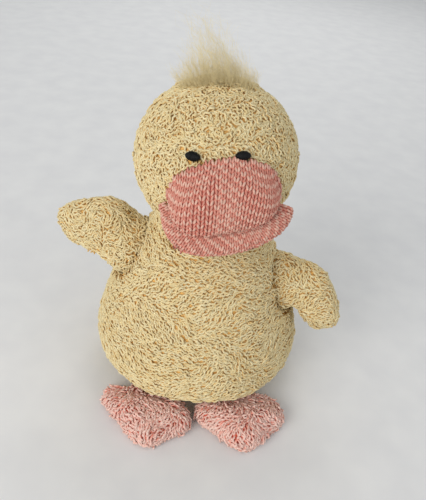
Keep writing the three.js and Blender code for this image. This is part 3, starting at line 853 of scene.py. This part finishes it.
# Neck: slanted stitches that sew the head on
def neck_seam():
    low_corner, high_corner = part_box("neck_thread")
    ring = (high_corner.x - low_corner.x) / 2 - THREAD_RADIUS
    middle = (low_corner.z + high_corner.z) / 2
    t = np.linspace(-1, 1, NECK_STITCH_RINGS)
    turn = (np.arange(NECK_STITCHES) * 2 * math.pi / NECK_STITCHES)[:, None] + NECK_STITCH_SLANT * t
    out = ring - NECK_STITCH_SINK - THREAD_RADIUS * t ** 2 * np.ones((NECK_STITCHES, 1))
    height = middle + THREAD_RADIUS * t * np.ones((NECK_STITCHES, 1))
    paths = np.stack([out * np.cos(turn), out * np.sin(turn), height], axis=2)
    thick = NECK_THREAD * np.sqrt(NECK_STITCH_BLUNTNESS - t ** 2) * np.ones((NECK_STITCHES, 1))
    tones = np.random.default_rng(NECK_SEED).random(NECK_STITCHES)
    obj = tube_mesh("neck_stitches", paths, thick, np.array((0, 0, 1)), NECK_STITCH_SIDES, tones)
    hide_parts("neck_thread")
    dress(obj, terry, "neck")
    bunched_terry(ring, middle)


def bunched_terry(ring, middle):
    """Loops that line the crease and that the neck's thread draws together over itself."""
    rng = np.random.default_rng(NECK_TERRY_SEED)
    row = np.repeat(NECK_ROWS, NECK_LOOPS)[:, None]
    turn = np.tile(np.arange(NECK_LOOPS), len(NECK_ROWS)) + rng.random(len(row))
    turn *= 2 * math.pi / NECK_LOOPS
    out = np.stack([np.cos(turn), np.sin(turn), np.zeros(len(turn))], axis=1)
    up = np.array((0, 0, 1))
    spots = out * (ring - NECK_LOOP_SINK + NECK_WIDENING * np.abs(row)) + up * (middle + row)
    lift = out * np.cos(NECK_LEAN * row) - up * np.sin(NECK_LEAN * row)
    heading = lie(spots, lift, np.cross(up, out), NECK_PILE, NECK_TERRY_SEED + 1)
    press = np.ones(len(spots))
    obj = loops("neck_pile", spots, lift, heading, press, NECK_PILE, NECK_TERRY_SEED + 2)
    dress(obj, terry, "neck")


neck_seam()


# Knit: two slanted legs to a stitch, in columns over the bill, pale and deep stitches by turns
def knit_stitches(name, middles, lifts, wales, deep, seed, body):
    rng = np.random.default_rng(seed)
    side = unit(np.cross(np.gradient(middles, axis=1), lifts))
    t = np.linspace(0, 1, STITCH_RINGS)
    raised = 1 - STITCH_RAISE * deep[:, None]
    relief = STITCH_RELIEF * np.sin(math.pi * t) * raised ** 2
    swell = np.sin(math.pi * (STITCH_END + (1 - 2 * STITCH_END) * t))
    shape = STITCH_RADIUS * (STITCH_CORE + (1 - STITCH_CORE) * swell) * raised
    spread = wales * (STITCH_FOOT + (STITCH_TOP - STITCH_FOOT) * t)
    legs = [middles + side * sign * spread[:, :, None] + lifts * relief[:, :, None] for sign in (-1, 1)]
    paths = np.concatenate(legs)
    thick = np.tile(shape, (2, 1)) * rng.uniform(*STITCH_WIDTHS, (len(paths), 1))
    tones = np.clip(np.tile(deep + STITCH_TONES * rng.normal(size=len(deep)), 2), 0, 1)
    obj = tube_mesh(name, paths, thick, -np.concatenate([side, side]), STITCH_SIDES, tones)
    dress(obj, knit, body)


def path_length(line):
    """Length of the way to each point of a line."""
    return np.concatenate([[0], np.cumsum(np.linalg.norm(np.diff(line, axis=0), axis=1))])


def sampled(stops, length, values):
    return np.stack([np.interp(stops, length, values[:, axis]) for axis in range(3)], axis=-1)


def columns(surface_at, first_sweep, second_sweep):
    """Columns of stitches over a form: rings of points, normals and widths, and which are deep."""
    walk = path_length(surface_at(first_sweep, np.full(len(first_sweep), second_sweep.mean())))
    count = int(walk[-1] / WALE)
    starts = np.interp((np.arange(count) + 0.5) * walk[-1] / count, walk, first_sweep)
    climb = (np.linspace(0, 1, STITCH_RINGS) - 0.5) * COURSE * STITCH_OVERLAP
    middles, lifts, wales, deep = [], [], [], []
    for column, (start, step) in enumerate(zip(starts, np.gradient(starts))):
        line = surface_at(np.full(len(second_sweep), start), second_sweep)
        beside = surface_at(np.full(len(second_sweep), start + step / 2), second_sweep) - line
        lift = unit(np.cross(beside, np.gradient(line, axis=0)))
        length = path_length(line)
        stops = np.arange(COURSE, length[-1] - COURSE, COURSE)
        rings = stops[:, None] + climb
        middles.append(sampled(rings, length, line))
        lifts.append(unit(sampled(rings, length, lift)))
        wales.append(2 * np.interp(rings, length, np.linalg.norm(beside, axis=1)))
        deep.append((np.arange(len(stops)) + column) % 2)
    return tuple(map(np.concatenate, (middles, lifts, wales, deep)))


def laid(tree, points, lifts):
    """Points moved along their normals on to a skin, and in under the seam beside the head."""
    resting = points - lifts * KNIT_INSET
    for place in zip(*np.nonzero(from_head(points) > KNIT_TURN_IN)):
        above = Vector(points[place] + lifts[place] * KNIT_REACH)
        hit = tree.ray_cast(above, Vector(-lifts[place]), 2 * KNIT_REACH)[0]
        if hit is not None:
            resting[place] = hit
    return resting


tilted_head = Matrix.Translation(HEAD_CENTRE) @ Matrix.Rotation(HEAD_TILT, 4, "Y")
mouth = (tilted_head @ Matrix.Rotation(BILL_TURN, 4, "Z")
         @ Matrix.Translation((0, -MOUTH_FORWARD, MOUTH_RISE)) @ Matrix.Rotation(MOUTH_SLOPE, 4, "X"))
jaw = Matrix.Translation(JOINTS["jaw_open"]) @ mouth.to_3x3().to_4x4()
lip = jaw @ Matrix.Translation((LIP_SHIFT, -LIP_MIDDLE, 0)) @ Matrix.Rotation(LIP_TURN, 4, "Z")


def squareness(x, y, fullness):
    """How much further out than an ellipse a squarer outline is, in the direction of a point."""
    across = np.maximum(np.hypot(x, y), TINY)
    return (np.abs(x / across) ** fullness + np.abs(y / across) ** fullness) ** (-1 / fullness)


def dome_at(across, over):
    """Point on the dome: across from one end to the other, over from the mouth line to the back."""
    ball = np.stack([np.sin(across), -np.cos(across) * np.cos(over), np.cos(across) * np.sin(over)], axis=1)
    points = ball @ np.array(Matrix.Rotation(WALE_LEAN, 3, "Z")).T
    in_front = points[:, 1] < 0
    points[in_front, :2] *= squareness(points[in_front, 0], points[in_front, 1], DOME_FULLNESS)[:, None]
    points *= DOME
    points[:, 1] += DOME_SHEAR * points[:, 0]
    return moved(mouth, points)


def lip_at(round_rim, over):
    """Point on the lip: along its rim from one end to the other, over from its top to its underside."""
    cos, sin = np.cos(round_rim), np.sin(round_rim)
    swell = np.cos(over) ** LIP_ROUNDING * squareness(cos, sin, LIP_FULLNESS)
    depth = np.where(sin < 0, LIP_FRONT, LIP_BACK) * (1 - LIP_SKEW * cos * swell)
    height = np.sign(np.sin(over)) * np.abs(np.sin(over)) ** LIP_ROUNDING * LIP_HALF_THICKNESS
    return moved(lip, np.stack([cos * swell * LIP_HALF_WIDTH, sin * swell * depth, height], axis=1))


def knitted(name, base, surface_at, first_sweep, second_sweep, seed, body):
    middles, lifts, wales, deep = columns(surface_at, first_sweep, second_sweep)
    kept = from_head(middles[:, STITCH_RINGS // 2]) > KNIT_CLEARANCE
    middles, lifts = middles[kept], lifts[kept]
    knit_stitches(name, laid(surface(base), middles, lifts), lifts, wales[kept], deep[kept], seed, body)


knitted("upper_bill_knit", dome_skin, dome_at, np.linspace(*DOME_ACROSS, SWEEP_STEPS),
        np.linspace(*DOME_OVER, SWEEP_STEPS), DOME_SEED, "head")
knitted("lower_bill_knit", lip_skin, lip_at, np.linspace(*LIP_ROUND, RIM_STEPS),
        np.linspace(*LIP_OVER, SWEEP_STEPS), LIP_SEED, "jaw")


# Terry on the body, head, wings and feet
def round_upright(points):
    return np.stack([-points[:, 1], points[:, 0], np.zeros(len(points))], axis=1)


def round_head(points):
    return round_upright(points - np.array(HEAD_CENTRE)) + np.array((0, 0, CROWN_NUDGE))


def outward(joint):
    pivot = np.array(JOINTS[joint])
    return lambda points: points - pivot


def back(points):
    return points[:, 1] >= 0


def body_seams(points):
    """Down the middle of the back and round the base panel."""
    spine = back(points) & (np.abs(points[:, 0]) < SEAM_HALF_WIDTH)
    round_base = np.abs(np.hypot(points[:, 0], points[:, 1]) - BASE_SEAM_RADIUS) < SEAM_HALF_WIDTH
    return spine | (round_base & (points[:, 2] < 2 * SKIN_INSET))


def head_seams(points):
    return back(points) & (np.abs(points[:, 0]) < SEAM_HALF_WIDTH)


limbs = [*wing_skins.values(), *foot_skins.values()]
pile("body_pile", body_skin, round_upright, BODY_PILE, BODY_SEED, terry, "torso",
     sewn=[head_skin], loose=[*limbs, lip_skin], split=quarters, seams=body_seams)
pile("head_pile", head_skin, round_head, HEAD_PILE, HEAD_SEED, terry, "head",
     sewn=[body_skin, dome_skin], loose=[lip_skin], split=quarters, seams=head_seams, bare=on_eyes)
for hand in HANDS:
    pile(f"wing_{hand}_pile", wing_skins[hand], outward(f"wing_{hand}_lift"), WING_PILE,
         WING_SEEDS[hand], terry, f"wing_{hand}", loose=[body_skin])
    pile(f"foot_{hand}_pile", foot_skins[hand], outward(f"foot_{hand}_lift"), FOOT_PILE,
         FOOT_SEEDS[hand], pink, f"foot_{hand}", loose=[body_skin])


# Hair
def hair_tuft():
    rng = np.random.default_rng(HAIR_SEED)
    angle = rng.uniform(0, 2 * math.pi, HAIR_COUNT)
    span = np.sqrt(rng.random(HAIR_COUNT))
    x = HAIR_HALF_WIDTH * span * np.cos(angle)
    y = HAIR_HALF_DEPTH * span * np.sin(angle)
    z = np.sqrt((HEAD_RADIUS - SKIN_INSET) ** 2 - x ** 2 - y ** 2) * CROWN_FLATTENING
    reach = (HAIR_LONGEST - HAIR_SHORTEST) * np.exp(-(HAIR_PEAK * x / HAIR_HALF_WIDTH) ** 2)
    stubble = HAIR_SHORTEST * rng.uniform(*HAIR_STUBBLE, HAIR_COUNT)
    length = stubble + reach * rng.random(HAIR_COUNT) ** HAIR_RARITY
    t = np.linspace(0, 1, HAIR_RINGS)
    rise = length[:, None] * t
    share = rise / HAIR_LONGEST
    spread = 1 + HAIR_FLARE * t * (1 - share) - HAIR_DRAW * share
    loose = rng.normal(size=(HAIR_COUNT, 2)) * HAIR_STRAY
    out_x = x[:, None] * spread - HAIR_LEAN * share ** HAIR_BEND + loose[:, :1] * rise
    out_y = y[:, None] * (1 + HAIR_DEPTH_FLARE * t) + loose[:, 1:] * rise
    paths = np.stack([out_x, out_y, z[:, None] + rise], axis=2)
    curl = drift(paths.reshape(-1, 3), HAIR_SEED + 1, HAIR_CURL_LENGTH).reshape(paths.shape)
    paths = moved(tilted_head, paths + curl * HAIR_CURL * share[:, :, None])
    thick = HAIR_RADIUS * (1 - HAIR_TAPER * t) * np.ones((HAIR_COUNT, 1))
    obj = tube_mesh("hair_strands", paths, thick, np.array((0, 1, 0)), HAIR_SIDES, rng.random(HAIR_COUNT))
    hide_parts("tuft")
    dress(obj, hair, "tuft")


hair_tuft()


# Floor, light and camera
def pale_floor():
    mesh = bpy.data.meshes.new("floor")
    half = FLOOR_SIZE / 2
    corners = [(-half, -half, 0), (half, -half, 0), (half, half, 0), (-half, half, 0)]
    mesh.from_pydata(corners, [], [range(len(corners))])
    obj = add_object("floor", mesh)
    material, nodes, links, shader = new_material("floor_paper", FLOOR_ROUGHNESS)
    grain = noise(nodes, links, FLOOR_GRAIN, FLOOR_DETAIL)
    greys = (linear(222, 222, 222), linear(228, 228, 227))
    tones = ramp(nodes, links, grain, list(zip(GROUND_STOPS, greys)))
    links.new(tones, shader.inputs["Base Color"])
    mesh.materials.append(material)


def add_lamp(name, spot, aim, size, power, colour):
    lamp = bpy.data.lights.new(name, "AREA")
    lamp.shape = "DISK"
    lamp.size = size
    lamp.energy = power
    lamp.color = colour
    obj = bpy.data.objects.new(name, lamp)
    scene.collection.objects.link(obj)
    obj.location = spot
    obj.rotation_euler = (Vector(aim) - Vector(spot)).to_track_quat("-Z", "Y").to_euler()


def studio_world():
    world = bpy.data.worlds.new("studio")
    scene.world = world
    world.use_nodes = True
    background = world.node_tree.nodes["Background"]
    background.inputs["Color"].default_value = WORLD_COLOUR
    background.inputs["Strength"].default_value = WORLD_STRENGTH


def photo_camera():
    flat = math.cos(CAMERA_PITCH)
    sideways, forward = math.sin(CAMERA_AZIMUTH) * flat, math.cos(CAMERA_AZIMUTH) * flat
    out = Vector((sideways, -forward, math.sin(CAMERA_PITCH)))
    level = Vector((0, 0, 1)).cross(out).normalized()
    right = level * math.cos(CAMERA_ROLL) + out.cross(level) * math.sin(CAMERA_ROLL)
    camera = bpy.data.cameras.new("photo_camera")
    camera.sensor_width = SENSOR
    camera.lens = SENSOR * FOCAL_LENGTH / FRAME_HEIGHT
    camera.clip_start = CAMERA_NEAREST
    obj = bpy.data.objects.new("photo_camera", camera)
    scene.collection.objects.link(obj)
    turn = Matrix((right, out.cross(right), out)).transposed().to_4x4()
    obj.matrix_world = Matrix.Translation(CAMERA_TARGET + out * CAMERA_DISTANCE) @ turn
    scene.camera = obj


pale_floor()
add_lamp("key", spot=(-0.75, -0.85, 0.6), aim=(0, 0, 0.09), size=0.9, power=9, colour=(1.0, 0.98, 0.95))
add_lamp("fill", spot=(0.9, -0.7, 0.6), aim=(0, 0, 0.09), size=0.9, power=1.5, colour=(0.96, 0.98, 1.0))
add_lamp("rim", spot=(0.1, 1.0, 0.8), aim=(0, 0, 0.12), size=0.7, power=3, colour=(1.0, 1.0, 1.0))
studio_world()
photo_camera()
scene.view_settings.view_transform = "Standard"
